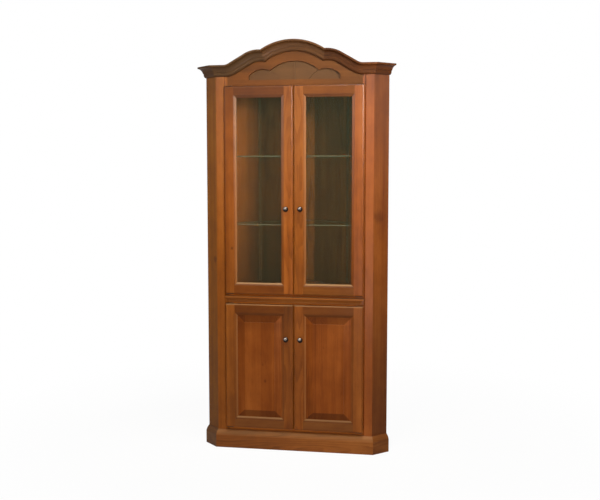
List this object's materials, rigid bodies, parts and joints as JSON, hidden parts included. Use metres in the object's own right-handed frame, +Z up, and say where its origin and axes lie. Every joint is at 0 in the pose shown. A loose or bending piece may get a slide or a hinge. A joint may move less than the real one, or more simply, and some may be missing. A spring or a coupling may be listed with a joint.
{
  "type": "corner curio cabinet",
  "caption": "Tall corner display cabinet with a three-arched crown, glazed upper doors over glass shelves and panelled cupboard doors below.",
  "frame": {"origin": "middle of the cabinet's bounding box, on the floor", "axes": "+Z up, -Y out of the door front, +Y back into the corner of the room, +X to the viewer's right"},
  "size_m": [1.0376, 0.572, 2.134],
  "materials": {
    "frame_wood": "satin stained oak",
    "door_wood": "satin stained oak",
    "moulding_wood": "satin stained oak",
    "inside_wood": "satin stained veneer",
    "clear_glass": "polished",
    "pewter": "satin pewter",
    "hinge_brass": "satin",
    "shelf_hardware": "satin"
  },
  "bodies": {
    "carcase": {"back_corner_strip": "inside_wood", "base_front": "moulding_wood", "base_left_return": "moulding_wood", "base_right_return": "moulding_wood", "bottom_deck": "inside_wood", "bottom_rail": "frame_wood", "crown_left_arch": "moulding_wood", "crown_left_return": "moulding_wood", "crown_middle_arch": "moulding_wood", "crown_right_arch": "moulding_wood", "crown_right_return": "moulding_wood", "cupboard_shelf": "inside_wood", "frieze_board": "frame_wood", "frieze_panel": "frame_wood", "hinge_brackets": "hinge_brass", "left_back_panel": "inside_wood", "left_side_panel": "frame_wood", "left_stile": "frame_wood", "lower_glass_shelf": "clear_glass", "middle_deck": "inside_wood", "middle_rail": "frame_wood", "right_back_panel": "inside_wood", "right_side_panel": "frame_wood", "right_stile": "frame_wood", "shelf_standards": "shelf_hardware", "shelf_supports": "shelf_hardware", "top_panel": "inside_wood", "upper_glass_shelf": "clear_glass", "waist_moulding": "moulding_wood"},
    "left_upper_door": {"left_upper_door_bottom_rail": "door_wood", "left_upper_door_glass": "clear_glass", "left_upper_door_glass_stops": "door_wood", "left_upper_door_hinge_stile": "door_wood", "left_upper_door_knob": "pewter", "left_upper_door_meeting_stile": "door_wood", "left_upper_door_pivot_bushes": "hinge_brass", "left_upper_door_top_rail": "door_wood"},
    "right_upper_door": {"right_upper_door_bottom_rail": "door_wood", "right_upper_door_glass": "clear_glass", "right_upper_door_glass_stops": "door_wood", "right_upper_door_hinge_stile": "door_wood", "right_upper_door_knob": "pewter", "right_upper_door_meeting_stile": "door_wood", "right_upper_door_pivot_bushes": "hinge_brass", "right_upper_door_top_rail": "door_wood"},
    "left_lower_door": {"left_lower_door_bottom_rail": "door_wood", "left_lower_door_hinge_stile": "door_wood", "left_lower_door_knob": "pewter", "left_lower_door_meeting_stile": "door_wood", "left_lower_door_pivot_bushes": "hinge_brass", "left_lower_door_raised_panel": "door_wood", "left_lower_door_top_rail": "door_wood"},
    "right_lower_door": {"right_lower_door_bottom_rail": "door_wood", "right_lower_door_hinge_stile": "door_wood", "right_lower_door_knob": "pewter", "right_lower_door_meeting_stile": "door_wood", "right_lower_door_pivot_bushes": "hinge_brass", "right_lower_door_raised_panel": "door_wood", "right_lower_door_top_rail": "door_wood"}
  },
  "joints": [
    {"name": "left_upper_door_swing", "type": "hinge", "parent": "carcase", "child": "left_upper_door", "pos_m": [-0.353, -0.242, 1.3675], "axis": [0, 0, -1], "range_deg": [0, 110]},
    {"name": "right_upper_door_swing", "type": "hinge", "parent": "carcase", "child": "right_upper_door", "pos_m": [0.353, -0.242, 1.3675], "axis": [0, 0, 1], "range_deg": [0, 110]},
    {"name": "left_lower_door_swing", "type": "hinge", "parent": "carcase", "child": "left_lower_door", "pos_m": [-0.353, -0.242, 0.4435], "axis": [0, 0, -1], "range_deg": [0, 110]},
    {"name": "right_lower_door_swing", "type": "hinge", "parent": "carcase", "child": "right_lower_door", "pos_m": [0.353, -0.242, 0.4435], "axis": [0, 0, 1], "range_deg": [0, 110]}
  ]
}
